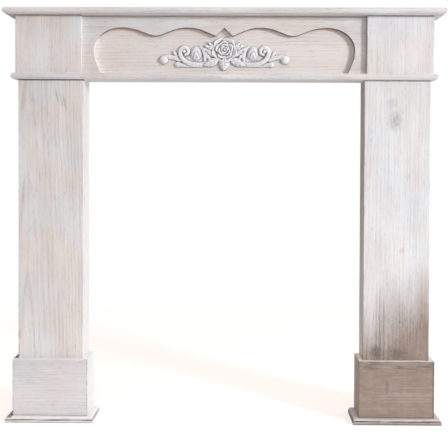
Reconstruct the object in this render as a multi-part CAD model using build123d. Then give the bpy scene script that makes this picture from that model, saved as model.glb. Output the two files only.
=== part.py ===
from build123d import *
import math
import os

# Fireplace surround in whitewashed solid wood, millimetres.
# Frame: +Z up, -Y towards the room, +Y towards the wall, +X to the right when facing the surround.
# Origin: on the floor, under the middle of the whole part's box.

# ---- driving dimensions: overall ----
SHELF_WIDTH = 1105
SHELF_DEPTH = 105
SHELF_THICK = 16
TOTAL_HEIGHT = 1040

# ---- driving dimensions: frieze (the box between the two horizontal boards) ----
FRIEZE_WIDTH = 1052
FRIEZE_HEIGHT = 146
FRIEZE_BOARD = 12
FRET_THICK = 13
BLOCK_WIDTH = 167
BLOCK_THICK = 13
BLOCK_PROUD_OF_LEG = 3
BACK_PANEL_THICK = 10
CORNICE_WIDTH = 1070
CORNICE_DEPTH = 90
CORNICE_THICK = 16

# ---- driving dimensions: legs, plinths and base plates ----
LEG_CENTRE_X = 436.5
LEG_WIDTH = 165
LEG_DEPTH = 75
LEG_BOARD = 12
PLINTH_HEIGHT = 143
PLINTH_BOARD = 12
BASE_WIDTH = 220
BASE_DEPTH = 102.5
BASE_THICK = 13
BASE_FILLET_HEIGHT = 7.5
BASE_QUIRK = 1.2
BASE_OVOLO_RADIUS = 5

# ---- driving dimensions: hidden frame ----
BATTEN = 18
RIB_THICK = 18
REAR_RAIL_HEIGHT = 38
CORNER_STRIP = 15
LEG_BLOCK_HEIGHT = 40
LEG_BLOCK_SETBACK = 18
LEG_RAIL_HEIGHT = 45
LEG_RAIL_Z = 470

# ---- edges ----
BULLNOSE_RADIUS = 7.5
ARRIS = 1.2
FRET_ARRIS = 0.8
SAME_PLACE = 0.01

# ---- fret cut-out: half of the outline, measured from the middle of the frieze ----
FRET_END_HALF_WIDTH = 329.5
FRET_END_HEIGHT = 61
FRET_FOOT_HALF_WIDTH = 311
FRET_FOOT_LEAN = 0.45
FRET_CREST_HEIGHT = 116
FRET_OUTER_CREST_X = 260
FRET_VALLEY_X = 171.5
FRET_VALLEY_HEIGHT = 95.5
FRET_INNER_CREST_X = 92
FRET_CUSP_X = 21
FRET_CUSP_HEIGHT = 95
FRET_CUSP_SLOPE = 0.38
FRET_NOTCH_HEIGHT = 116

# ---- fasteners ----
FIT_GAP = 0.05
DOWEL_DIAMETER = 8
DOWEL_LENGTH = 30
DOWEL_IN_CORNICE = 12
DOWEL_END_GAP = 0.5
DOWEL_CHAMFER = 1
DOWEL_OFFSET_X = 50
DOWEL_FROM_WALL = 47
SCREW_DIAMETER = 4
SCREW_HEAD_DIAMETER = 8
SCREW_HEAD_HEIGHT = 2.4
SCREW_POINT = 5
SCREW_SUNK = 1
SCREW_SLOT_LENGTH = 4.4
SCREW_SLOT_WIDTH = 1
SCREW_SLOT_DEPTH = 1.4
LEG_SCREW_LENGTH = 40
LEG_SCREW_OFFSET_X = 25
CORNICE_SCREW_FROM_WALL = 28
BASE_SCREW_FROM_WALL = 42
BATTEN_SCREW_LENGTH = 28
BATTEN_SCREW_XS = (-450, -200, 200, 450)

# ---- positions that follow from the driving dimensions ----
WALL_Y = SHELF_DEPTH / 2
SHELF_Z = TOTAL_HEIGHT - SHELF_THICK
FRIEZE_Z = SHELF_Z - FRIEZE_HEIGHT
CORNICE_Z = FRIEZE_Z - CORNICE_THICK
PLINTH_TOP_Z = BASE_THICK + PLINTH_HEIGHT
LEG_INNER_X = LEG_CENTRE_X - LEG_WIDTH / 2
LEG_OUTER_X = LEG_CENTRE_X + LEG_WIDTH / 2
FRIEZE_INNER_X = FRIEZE_WIDTH / 2 - FRIEZE_BOARD
LEG_SIDE_DEPTH = LEG_DEPTH - LEG_BOARD
BLOCK_FRONT = LEG_DEPTH + BLOCK_PROUD_OF_LEG
FRET_FRONT = BLOCK_FRONT - BLOCK_THICK
FRET_REAR = FRET_FRONT - FRET_THICK
BACK_PANEL_REAR = FRET_REAR - BACK_PANEL_THICK
BATTEN_REAR = BACK_PANEL_REAR - BATTEN

SIDES = {"left": -1, "right": 1}


def from_wall(distance):
    """Y of a plane that lies this far in front of the wall."""
    return WALL_Y - distance


def board(xs, depths, zs):
    """A square-edged board between two X values, two distances from the wall and two heights."""
    width = abs(xs[1] - xs[0])
    centre = ((xs[0] + xs[1]) / 2, from_wall((depths[0] + depths[1]) / 2), (zs[0] + zs[1]) / 2)
    return Pos(*centre) * Box(width, depths[1] - depths[0], zs[1] - zs[0])


def mirrored(side, inner, outer):
    """The X range between two distances from the middle, on the side whose sign is given."""
    return (side * inner, side * outer)


def front_edges(part):
    """The edges that lie in the part's front face."""
    front_y = part.bounding_box().min.Y
    return part.edges().filter_by(lambda edge: abs(edge.center().Y - front_y) < SAME_PLACE)


def bullnosed(xs, depths, zs):
    """A board whose front and two ends are rounded, top and bottom. Its rear edge is square."""
    part = board(xs, depths, zs)
    rear_y = part.bounding_box().max.Y
    edges = part.edges().filter_by(lambda edge: abs(edge.center().Y - rear_y) > SAME_PLACE)
    horizontal = edges.filter_by(Axis.X) + edges.filter_by(Axis.Y)
    return fillet(horizontal, BULLNOSE_RADIUS)


def eased(xs, depths, zs, top=False):
    """A face board with its two upright front arrises softened, and the top one too where it shows."""
    part = board(xs, depths, zs)
    edges = front_edges(part)
    softened = edges.filter_by(Axis.Z)
    if top:
        softened = softened + edges.group_by(Axis.Z)[-1]
    return fillet(softened, ARRIS)


# ---- fasteners and their holes ----

def dowel(x, distance, z):
    """A plain round dowel with chamfered ends, standing on z."""
    pin = Pos(x, from_wall(distance), z + DOWEL_LENGTH / 2) * Cylinder(DOWEL_DIAMETER / 2, DOWEL_LENGTH)
    return chamfer(pin.edges().filter_by(GeomType.CIRCLE), DOWEL_CHAMFER)


def dowel_hole(x, distance, z):
    length = DOWEL_LENGTH + 2 * DOWEL_END_GAP
    radius = DOWEL_DIAMETER / 2 + FIT_GAP
    return Pos(x, from_wall(distance), z + DOWEL_LENGTH / 2) * Cylinder(radius, length)


def screw_profile(length, gap):
    """Half section of a countersunk screw, head face at height 0 and point below."""
    shank = SCREW_DIAMETER / 2 + gap
    head = SCREW_HEAD_DIAMETER / 2 + gap
    return Polyline(
        (0, 0), (head, 0), (shank, -SCREW_HEAD_HEIGHT), (shank, -length + SCREW_POINT), (0, -length), close=True
    )


def revolved_screw(length, gap):
    section = make_face(Plane.XZ * screw_profile(length, gap))
    return revolve(section, Axis.Z)


def screw(length):
    """A countersunk wood screw with a cross recess in its head."""
    body = revolved_screw(length, 0)
    slot = Box(SCREW_SLOT_LENGTH, SCREW_SLOT_WIDTH, 2 * SCREW_SLOT_DEPTH)
    return body - slot - Rot(0, 0, 90) * slot


def screw_hole(length):
    """The screw's own shape with a little room, and the counterbore that sinks its head."""
    mouth = Pos(0, 0, SCREW_SUNK) * Cylinder(SCREW_HEAD_DIAMETER / 2 + FIT_GAP, 2 * SCREW_SUNK)
    return revolved_screw(length + FIT_GAP, FIT_GAP) + mouth


def place_down(x, distance, z):
    """Where a screw goes that is driven downwards, its head just under the face at z."""
    return Pos(x, from_wall(distance), z - SCREW_SUNK)


def place_up(x, distance, z):
    """Where a screw goes that is driven upwards, its head just over the face at z."""
    return Pos(x, from_wall(distance), z + SCREW_SUNK) * Rot(180, 0, 0)


def leg_pairs(offset):
    """The X values of a pair of fasteners in each leg."""
    return [side * LEG_CENTRE_X + step * offset for side in SIDES.values() for step in (-1, 1)]


DOWEL_BASE_Z = FRIEZE_Z - CORNICE_THICK + DOWEL_IN_CORNICE - DOWEL_LENGTH
DOWEL_XS = leg_pairs(DOWEL_OFFSET_X)
CORNICE_SCREW_PLACES = [place_down(x, CORNICE_SCREW_FROM_WALL, FRIEZE_Z) for x in leg_pairs(LEG_SCREW_OFFSET_X)]
BASE_SCREW_PLACES = [place_up(x, BASE_SCREW_FROM_WALL, 0) for x in leg_pairs(DOWEL_OFFSET_X)]
BATTEN_SCREW_DEPTH = BATTEN_REAR + BATTEN / 2
SHELF_SCREW_PLACES = [place_up(x, BATTEN_SCREW_DEPTH, SHELF_Z - BATTEN) for x in BATTEN_SCREW_XS]
LOWER_SCREW_PLACES = [place_down(x, BATTEN_SCREW_DEPTH, FRIEZE_Z + BATTEN) for x in BATTEN_SCREW_XS]


def drilled(part, places, length):
    """The part with a screw hole at each place."""
    for place in places:
        part = part - place * screw_hole(length)
    return part


def bored_for_dowels(part):
    for x in DOWEL_XS:
        part = part - dowel_hole(x, DOWEL_FROM_WALL, DOWEL_BASE_Z)
    return part


# ---- horizontal boards ----

def mantel_shelf():
    half = SHELF_WIDTH / 2
    part = bullnosed((-half, half), (0, SHELF_DEPTH), (SHELF_Z, TOTAL_HEIGHT))
    return drilled(part, SHELF_SCREW_PLACES, BATTEN_SCREW_LENGTH)


def cornice_board():
    half = CORNICE_WIDTH / 2
    part = bullnosed((-half, half), (0, CORNICE_DEPTH), (CORNICE_Z, FRIEZE_Z))
    part = drilled(part, CORNICE_SCREW_PLACES, LEG_SCREW_LENGTH)
    part = drilled(part, LOWER_SCREW_PLACES, BATTEN_SCREW_LENGTH)
    return bored_for_dowels(part)


# ---- frieze ----

def fret_half_curve(side):
    """One half of the cut-out's edge, from its foot up round the end and along the two waves to the cusp."""
    foot = (side * FRET_FOOT_HALF_WIDTH, 0)
    end = (side * FRET_END_HALF_WIDTH, FRET_END_HEIGHT)
    outer_crest = (side * FRET_OUTER_CREST_X, FRET_CREST_HEIGHT)
    valley = (side * FRET_VALLEY_X, FRET_VALLEY_HEIGHT)
    inner_crest = (side * FRET_INNER_CREST_X, FRET_CREST_HEIGHT)
    cusp = (side * FRET_CUSP_X, FRET_CUSP_HEIGHT)
    inwards = (-side, 0)
    foot_curve = Spline(foot, end, tangents=((side * FRET_FOOT_LEAN, 1), (0, 1)))
    shoulder = EllipticalCenterArc(
        (side * FRET_OUTER_CREST_X, FRET_END_HEIGHT),
        FRET_END_HALF_WIDTH - FRET_OUTER_CREST_X,
        FRET_CREST_HEIGHT - FRET_END_HEIGHT,
        start_angle=0 if side > 0 else 90,
        arc_size=90,
    )
    waves = Spline(outer_crest, valley, inner_crest, tangents=(inwards, inwards))
    drop = Spline(inner_crest, cusp, tangents=(inwards, (-side, -FRET_CUSP_SLOPE)))
    return [foot_curve, shoulder, waves, drop]


def fret_opening():
    """The face of the whole cut-out: two waves each side and a pointed notch in the middle."""
    apex = (0, FRET_NOTCH_HEIGHT)
    edges = []
    for side in SIDES.values():
        edges += fret_half_curve(side)
        edges.append(Line((side * FRET_CUSP_X, FRET_CUSP_HEIGHT), apex))
    edges.append(Line((-FRET_FOOT_HALF_WIDTH, 0), (FRET_FOOT_HALF_WIDTH, 0)))
    return make_face(Curve() + edges)


def frieze_fret_panel():
    """The shaped board across the frieze, with the cut-out open at its lower edge."""
    outline = Pos(0, FRIEZE_HEIGHT / 2) * Rectangle(2 * FRIEZE_INNER_X, FRIEZE_HEIGHT)
    upright = Plane(origin=(0, from_wall(FRET_REAR), FRIEZE_Z), x_dir=(1, 0, 0), z_dir=(0, -1, 0))
    part = extrude(upright * (outline - fret_opening()), FRET_THICK)
    half = FRET_END_HALF_WIDTH + FRET_ARRIS
    lowest, highest = FRIEZE_Z + SAME_PLACE, SHELF_Z - SAME_PLACE
    cut_edges = front_edges(part).filter_by(
        lambda edge: abs(edge.center().X) < half and lowest < edge.center().Z < highest
    )
    return chamfer(cut_edges, FRET_ARRIS)


def frieze_back_panel():
    xs = (-FRIEZE_INNER_X, FRIEZE_INNER_X)
    return board(xs, (BACK_PANEL_REAR, FRET_REAR), (FRIEZE_Z, SHELF_Z))


def frieze_block(side):
    outer = FRIEZE_WIDTH / 2
    return eased(mirrored(side, outer - BLOCK_WIDTH, outer), (FRET_FRONT, BLOCK_FRONT), (FRIEZE_Z, SHELF_Z))


def frieze_side(side):
    return board(mirrored(side, FRIEZE_INNER_X, FRIEZE_WIDTH / 2), (0, FRET_FRONT), (FRIEZE_Z, SHELF_Z))


def frieze_rear_rail():
    xs = (-FRIEZE_INNER_X, FRIEZE_INNER_X)
    return board(xs, (0, RIB_THICK), (SHELF_Z - REAR_RAIL_HEIGHT, SHELF_Z))


def shelf_batten():
    xs = (-FRIEZE_INNER_X, FRIEZE_INNER_X)
    part = board(xs, (BATTEN_REAR, BACK_PANEL_REAR), (SHELF_Z - BATTEN, SHELF_Z))
    return drilled(part, SHELF_SCREW_PLACES, BATTEN_SCREW_LENGTH)


def cornice_batten():
    xs = (-FRIEZE_INNER_X, FRIEZE_INNER_X)
    part = board(xs, (BATTEN_REAR, BACK_PANEL_REAR), (FRIEZE_Z, FRIEZE_Z + BATTEN))
    return drilled(part, LOWER_SCREW_PLACES, BATTEN_SCREW_LENGTH)


def frieze_rib(side):
    """Upright between the back panel and the wall, notched round both battens and the rear rail."""
    centre = FRIEZE_WIDTH / 2 - BLOCK_WIDTH
    xs = mirrored(side, centre - RIB_THICK / 2, centre + RIB_THICK / 2)
    part = board(xs, (0, BACK_PANEL_REAR), (FRIEZE_Z, SHELF_Z))
    for zs in ((SHELF_Z - BATTEN, SHELF_Z), (FRIEZE_Z, FRIEZE_Z + BATTEN)):
        part = part - board(xs, (BATTEN_REAR, BACK_PANEL_REAR), zs)
    return part - board(xs, (0, RIB_THICK), (SHELF_Z - REAR_RAIL_HEIGHT, SHELF_Z))


# ---- moulded rose ornament, glued to the middle of the back panel ----
# Places and sizes are (across, up) from the rose's centre. The arms repeat on both sides.

ROSE_HEIGHT_IN_FRIEZE = 61
ROSE_RADIUS = 30
ROSE_RIM_RELIEF = 12
ROSE_RIM_EDGE = 4
ROSE_HOLLOW_RADIUS = 20
ROSE_HOLLOW_CENTRE = 21
BUD_RADIUS = 12
BUD_CENTRE = 5
BALL_PLACE = (154.5, -26)
BALL_RADIUS = 12
VOLUTE_PLACE = (105, -7)
VOLUTE_RADIUS = 13
VOLUTE_EDGE = 3
SCROLL_RELIEF = 8
SCROLL_WIDTH = 9
SCROLL_LINE = ((116, -10), (111, -26), (93, -36), (66, -31), (24, -10))
BAR_LINE = ((121, -38), (54, -37))
NECK_LINE = ((148, -25), (110, -22))
LEAF_RELIEF = 7
LEAF_TAPER = 15
BOTTOM_LEAF_PLACE = (0, -22)
BOTTOM_LEAF_SIZE = (33, 22)
# Each leaf of an arm: (across, up) of its stalk, its direction in degrees, its length and its width.
ARM_LEAVES = (
    ((18, -22), -35, 38, 22),
    ((26, -6), 28, 32, 15),
    ((80, -37), 97, 39, 14),
    ((124, -22), 100, 18, 8),
)


def rounded_relief(outline, height, edge):
    """A flat outline raised from the panel, its upper edge rounded."""
    solid = extrude(outline, height)
    return fillet(solid.edges().group_by(Axis.Z)[-1], edge)


def leaf_relief(place, direction, length, width):
    """A pointed leaf lying in the direction given, from its stalk."""
    tip = (length, 0)
    lower = ThreePointArc((0, 0), (length / 2, -width / 2), tip)
    upper = ThreePointArc(tip, (length / 2, width / 2), (0, 0))
    outline = Pos(*place) * Rot(0, 0, direction) * make_face(lower + upper)
    return extrude(outline, LEAF_RELIEF, taper=LEAF_TAPER)


def rod_relief(line):
    """A rounded rod along a straight or curved line of points."""
    path = Line(*line) if len(line) == 2 else Spline(*line)
    start, start_along = path @ 0, path % 0
    section = Plane(origin=start, z_dir=start_along) * Circle(SCROLL_WIDTH / 2)
    rod = sweep(section, path)
    ends = [Pos(*(path @ end)) * Sphere(SCROLL_WIDTH / 2) for end in (0, 1)]
    return rod + ends


def rose_relief():
    """A cupped rim of outer petals round a domed bud."""
    rim = rounded_relief(Circle(ROSE_RADIUS), ROSE_RIM_RELIEF, ROSE_RIM_EDGE)
    hollow = Pos(0, 0, ROSE_HOLLOW_CENTRE) * Sphere(ROSE_HOLLOW_RADIUS)
    bud = Pos(0, 0, BUD_CENTRE) * Sphere(BUD_RADIUS)
    return rim - hollow + bud


def arm_relief(side):
    """One arm: ball, neck, volute, scroll, bar and leaves."""
    def place(point):
        return (side * point[0], point[1])

    arm = Pos(*place(BALL_PLACE)) * Sphere(BALL_RADIUS)
    arm += Pos(*place(VOLUTE_PLACE)) * rounded_relief(Circle(VOLUTE_RADIUS), SCROLL_RELIEF, VOLUTE_EDGE)
    for line in (SCROLL_LINE, BAR_LINE, NECK_LINE):
        arm += rod_relief([place(point) for point in line])
    for stalk, direction, length, width in ARM_LEAVES:
        angle = direction if side > 0 else 180 - direction
        arm += leaf_relief(place(stalk), angle, length, width)
    return arm


def rose_applique():
    """The whole ornament, flat at the back, where it is cut off level with the panel."""
    relief = rose_relief() + arm_relief(-1) + arm_relief(1)
    relief += leaf_relief(BOTTOM_LEAF_PLACE, -90, *BOTTOM_LEAF_SIZE)
    in_front = Pos(0, 0, FRIEZE_HEIGHT / 2) * Box(FRIEZE_WIDTH, FRIEZE_HEIGHT, FRIEZE_HEIGHT)
    height = FRIEZE_Z + ROSE_HEIGHT_IN_FRIEZE
    panel = Plane(origin=(0, from_wall(FRET_REAR), height), x_dir=(1, 0, 0), z_dir=(0, -1, 0))
    return panel * (relief & in_front)


# ---- legs: hollow boxes, open towards the wall ----

def leg_front(side):
    return eased(mirrored(side, LEG_INNER_X, LEG_OUTER_X), (LEG_SIDE_DEPTH, LEG_DEPTH), (BASE_THICK, CORNICE_Z))


def leg_side(side, inner):
    xs = mirrored(side, inner, inner + LEG_BOARD)
    return board(xs, (0, LEG_SIDE_DEPTH), (BASE_THICK, CORNICE_Z))


def leg_block(side, z):
    """A block that fills the leg's box near the front and takes the screws and dowels."""
    xs = mirrored(side, LEG_INNER_X + LEG_BOARD, LEG_OUTER_X - LEG_BOARD)
    return board(xs, (LEG_BLOCK_SETBACK, LEG_SIDE_DEPTH), (z, z + LEG_BLOCK_HEIGHT))


def leg_top_block(side):
    part = leg_block(side, CORNICE_Z - LEG_BLOCK_HEIGHT)
    return bored_for_dowels(drilled(part, CORNICE_SCREW_PLACES, LEG_SCREW_LENGTH))


def leg_foot_block(side):
    return drilled(leg_block(side, BASE_THICK), BASE_SCREW_PLACES, LEG_SCREW_LENGTH)


def leg_corner_strip(side, inner):
    """A square strip glued into a front corner of the leg, between the two blocks."""
    zs = (BASE_THICK + LEG_BLOCK_HEIGHT, CORNICE_Z - LEG_BLOCK_HEIGHT)
    xs = mirrored(side, inner, inner + CORNER_STRIP)
    return board(xs, (LEG_SIDE_DEPTH - CORNER_STRIP, LEG_SIDE_DEPTH), zs)


def leg_back_rail(side):
    """A cross rail that keeps the leg's two sides apart at the wall."""
    xs = mirrored(side, LEG_INNER_X + LEG_BOARD, LEG_OUTER_X - LEG_BOARD)
    return board(xs, (0, LEG_BOARD), (LEG_RAIL_Z, LEG_RAIL_Z + LEG_RAIL_HEIGHT))


# ---- plinths and base plates ----

def plinth_front(side):
    xs = mirrored(side, LEG_INNER_X - PLINTH_BOARD, LEG_OUTER_X + PLINTH_BOARD)
    return eased(xs, (LEG_DEPTH, LEG_DEPTH + PLINTH_BOARD), (BASE_THICK, PLINTH_TOP_Z), top=True)


def plinth_side(side, inner):
    return board(mirrored(side, inner, inner + PLINTH_BOARD), (0, LEG_DEPTH), (BASE_THICK, PLINTH_TOP_Z))


def base_plate(side):
    """The foot: a square slab with a quirk and a quarter-round above it on the front and both ends."""
    inner = LEG_CENTRE_X - BASE_WIDTH / 2
    outer = LEG_CENTRE_X + BASE_WIDTH / 2
    slab = board(mirrored(side, inner, outer), (0, BASE_DEPTH), (0, BASE_FILLET_HEIGHT))
    upper_xs = mirrored(side, inner + BASE_QUIRK, outer - BASE_QUIRK)
    upper = board(upper_xs, (0, BASE_DEPTH - BASE_QUIRK), (BASE_FILLET_HEIGHT, BASE_THICK))
    rear_y = upper.bounding_box().max.Y
    top_edges = upper.edges().group_by(Axis.Z)[-1]
    rounded = top_edges.filter_by(lambda edge: abs(edge.center().Y - rear_y) > SAME_PLACE)
    upper = fillet(rounded, BASE_OVOLO_RADIUS)
    return drilled(slab + upper, BASE_SCREW_PLACES, LEG_SCREW_LENGTH)


# ---- groups of fasteners ----

def leg_dowels():
    return Compound(children=[dowel(x, DOWEL_FROM_WALL, DOWEL_BASE_Z) for x in DOWEL_XS])


def screw_group(places, length):
    return Compound(children=[place * screw(length) for place in places])


# ---- the whole assembly, one named node for each piece ----

def two_sided_nodes():
    """The pieces that come as a left and a right one."""
    single = {
        "frieze_block": frieze_block,
        "frieze_side": frieze_side,
        "frieze_rib": frieze_rib,
        "leg_front": leg_front,
        "leg_top_block": leg_top_block,
        "leg_foot_block": leg_foot_block,
        "leg_back_rail": leg_back_rail,
        "plinth_front": plinth_front,
        "base_plate": base_plate,
    }
    paired = {
        "leg_{}_side": (leg_side, LEG_INNER_X, LEG_OUTER_X - LEG_BOARD),
        "leg_{}_corner_strip": (
            leg_corner_strip, LEG_INNER_X + LEG_BOARD, LEG_OUTER_X - LEG_BOARD - CORNER_STRIP
        ),
        "plinth_{}_side": (plinth_side, LEG_INNER_X - PLINTH_BOARD, LEG_OUTER_X),
    }
    nodes = {}
    for name, side in SIDES.items():
        for stem, make in single.items():
            nodes[stem + "_" + name] = make(side)
        for stem, (make, inner, outer) in paired.items():
            nodes[stem.format("inner") + "_" + name] = make(side, inner)
            nodes[stem.format("outer") + "_" + name] = make(side, outer)
    return nodes


def all_nodes():
    nodes = {
        "mantel_shelf": mantel_shelf(),
        "cornice_board": cornice_board(),
        "frieze_fret_panel": frieze_fret_panel(),
        "frieze_back_panel": frieze_back_panel(),
        "frieze_rear_rail": frieze_rear_rail(),
        "shelf_batten": shelf_batten(),
        "cornice_batten": cornice_batten(),
        "rose_applique": rose_applique(),
        "leg_dowels": leg_dowels(),
        "shelf_screws": screw_group(SHELF_SCREW_PLACES, BATTEN_SCREW_LENGTH),
        "cornice_batten_screws": screw_group(LOWER_SCREW_PLACES, BATTEN_SCREW_LENGTH),
        "leg_top_screws": screw_group(CORNICE_SCREW_PLACES, LEG_SCREW_LENGTH),
        "base_screws": screw_group(BASE_SCREW_PLACES, LEG_SCREW_LENGTH),
    }
    nodes.update(two_sided_nodes())
    return nodes


os.makedirs("parts", exist_ok=True)
for node_name, node_part in all_nodes().items():
    export_step(node_part, "parts/" + node_name + ".step")
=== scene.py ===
import math

import bmesh
import bpy
import numpy as np
from mathutils import Euler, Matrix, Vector


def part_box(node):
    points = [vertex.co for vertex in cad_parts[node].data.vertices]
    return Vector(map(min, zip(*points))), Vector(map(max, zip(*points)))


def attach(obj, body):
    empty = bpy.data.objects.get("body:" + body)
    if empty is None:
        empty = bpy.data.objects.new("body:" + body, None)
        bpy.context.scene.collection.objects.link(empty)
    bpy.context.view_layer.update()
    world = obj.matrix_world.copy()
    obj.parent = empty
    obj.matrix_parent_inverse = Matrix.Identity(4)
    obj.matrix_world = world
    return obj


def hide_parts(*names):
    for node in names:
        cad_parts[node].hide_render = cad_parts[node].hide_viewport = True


# Whitewashed wooden fireplace surround. Metres, +Z up, -Y towards the room, +X to the right.

UP, DOWN = (0, 0, 1), (0, 0, -1)
TO_ROOM, TO_WALL = (0, -1, 0), (0, 1, 0)
TO_LEFT, TO_RIGHT = (-1, 0, 0), (1, 0, 0)

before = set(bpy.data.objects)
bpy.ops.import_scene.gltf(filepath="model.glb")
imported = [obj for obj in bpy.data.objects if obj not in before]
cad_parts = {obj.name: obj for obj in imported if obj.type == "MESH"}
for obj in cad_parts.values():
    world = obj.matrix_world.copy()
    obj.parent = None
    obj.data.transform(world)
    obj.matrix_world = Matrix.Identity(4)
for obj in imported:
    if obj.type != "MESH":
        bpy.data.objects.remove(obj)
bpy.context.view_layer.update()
scene = bpy.context.scene

# ---- camera ----

CAMERA_PLACE = (0.0517, -2.0764, 0.6712)
CAMERA_PITCH = 1.0
CAMERA_YAW = 0.615
CAMERA_ROLL = 0.23
CAMERA_LENS = 65.5
CAMERA_SHIFT = (-0.0256, -0.105)


def make_camera():
    """Nearly level, so the uprights stay upright. It stands a little to the right and turns left."""
    data = bpy.data.cameras.new("camera")
    data.lens = CAMERA_LENS
    data.shift_x, data.shift_y = CAMERA_SHIFT
    camera = bpy.data.objects.new("camera", data)
    scene.collection.objects.link(camera)
    camera.location = CAMERA_PLACE
    turned = Euler((math.radians(90 - CAMERA_PITCH), 0, math.radians(CAMERA_YAW)), "XYZ").to_matrix()
    rolled = Euler((0, 0, math.radians(CAMERA_ROLL)), "XYZ").to_matrix()
    camera.rotation_euler = (turned @ rolled).to_euler()
    scene.camera = camera


# ---- a small helper for node trees ----

class Tree:
    """Builds a material's nodes. A value may be a number, a colour or another node's output."""

    def __init__(self, name):
        self.material = bpy.data.materials.new(name)
        self.material.use_nodes = True
        self.nodes = self.material.node_tree.nodes
        self.links = self.material.node_tree.links
        self.shader = self.nodes["Principled BSDF"]

    def put(self, socket, value):
        """Links another socket to this one, or sets its value."""
        if isinstance(value, bpy.types.NodeSocket):
            self.links.new(value, socket)
        elif value is not None:
            socket.default_value = value

    def math(self, operation, first, second=None):
        node = self.nodes.new("ShaderNodeMath")
        node.operation = operation
        for socket, value in zip(node.inputs, (first, second)):
            self.put(socket, value)
        return node.outputs[0]

    def add(self, *terms):
        total = terms[0]
        for term in terms[1:]:
            total = self.math("ADD", total, term)
        return total

    def times(self, first, second):
        return self.math("MULTIPLY", first, second)

    def less(self, first, second):
        return self.math("SUBTRACT", first, second)

    def step(self, value, low, high, out_low=0.0, out_high=1.0):
        """A smooth step between two values."""
        node = self.nodes.new("ShaderNodeMapRange")
        node.interpolation_type = "SMOOTHSTEP"
        for socket, entry in zip(node.inputs, (value, low, high, out_low, out_high)):
            self.put(socket, entry)
        return node.outputs[0]

    def axes(self):
        """X, Y and Z of the surface point, in metres."""
        node = self.nodes.new("ShaderNodeSeparateXYZ")
        self.put(node.inputs[0], self.nodes.new("ShaderNodeTexCoord").outputs["Object"])
        return dict(zip("XYZ", node.outputs))

    def vector(self, x, y, z):
        node = self.nodes.new("ShaderNodeCombineXYZ")
        for socket, value in zip(node.inputs, (x, y, z)):
            self.put(socket, value)
        return node.outputs[0]

    def scaled(self, x, y, z):
        """The surface point with each axis multiplied."""
        axes = self.axes()
        return self.vector(*(self.times(axes[axis], scale) for axis, scale in zip("XYZ", (x, y, z))))

    def noise(self, vector, detail, roughness=0.55, distortion=0.0):
        node = self.nodes.new("ShaderNodeTexNoise")
        self.put(node.inputs["Vector"], vector)
        self.put(node.inputs["Scale"], 1.0)
        self.put(node.inputs["Detail"], detail)
        self.put(node.inputs["Roughness"], roughness)
        self.put(node.inputs["Distortion"], distortion)
        return node.outputs["Fac"]

    def mix(self, amount, first, second):
        node = self.nodes.new("ShaderNodeMix")
        node.data_type = "RGBA"
        self.put(node.inputs["Factor"], amount)
        self.put(node.inputs[6], first)
        self.put(node.inputs[7], second)
        return node.outputs[2]

    def finish(self, colour, roughness, height, depth):
        """Connects colour, roughness and bump to the shader."""
        self.put(self.shader.inputs["Base Color"], colour)
        self.put(self.shader.inputs["Roughness"], roughness)
        bump = self.nodes.new("ShaderNodeBump")
        self.put(bump.inputs["Strength"], 1.0)
        self.put(bump.inputs["Distance"], depth)
        self.put(bump.inputs["Height"], height)
        self.put(self.shader.inputs["Normal"], bump.outputs[0])
        return self.material


def rgb(red, green, blue):
    return (red, green, blue, 1.0)


# ---- wood ----

# Each wood's light and dark colour.
FACE_WOOD = (rgb(0.30, 0.228, 0.187), rgb(0.165, 0.12, 0.096))
FRAME_WOOD = (rgb(0.56, 0.42, 0.28), rgb(0.36, 0.23, 0.13))
WASH_COOL = rgb(0.728, 0.738, 0.760)
WASH_GREY = rgb(0.655, 0.655, 0.690)
WASH_PINK = rgb(0.755, 0.686, 0.652)
# The whiter wash of painted highlights on arrises and on faces turned to the light.
WASH_HIGHLIGHT = rgb(0.87, 0.87, 0.872)
# Colour of smudges and dirt, also used for painted shade and painted shadow.
SMUDGE_AND_SHADE = rgb(0.105, 0.09, 0.08)
# Dark colour of chipped arrises, also used for the painted shade of the seam lines.
WEAR_AND_SHADE = rgb(0.065, 0.048, 0.040)
TINT_SPREAD = 0.28
# How wide and how long the marks are.
PORES = (0.0018, 0.014)
FILLED_PORES = (1.3 * PORES[0], 0.6 * PORES[1])
LINES = (0.0030, 0.16)
BRUSH_STROKES = (0.0085, 0.45)
CLOUDS = (0.07, 0.20)
TINTS = (0.085, 0.15)
CHIPS = (0.018, 0.045)
PATCHES = (0.012, 0.022)
RING_PATCHES = (0.010, 0.09)
RING_WAVER = 0.045
RING_RIPPLE = 0.004
RIM_HIGHLIGHT_WIDTH = 0.0022
WEAR_WIDTH = 0.0035
# Where the seam lines lie: dark joints that are partly painted shade.
SEAM_START = 0.0006
SEAM_WIDTH = 0.0041
BUMP_DEPTH = 0.0005

# How a board was sawn: the pith's place beside and behind the board's middle, how fast the board drifts
# away from it along its length, and the gap between growth rings.
QUARTER = (0.145, 0.030, 0.02, 0.0065)
RIFT = (0.085, 0.045, -0.05, 0.0075)
PLAIN = (0.015, 0.075, 0.06, 0.0085)
LEFT_LEG_CUT = (0.035, 0.060, 0.03, 0.0075)


def middle_of(node):
    """The middle of a CAD piece's box."""
    low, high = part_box(node)
    return (low + high) / 2


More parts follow.
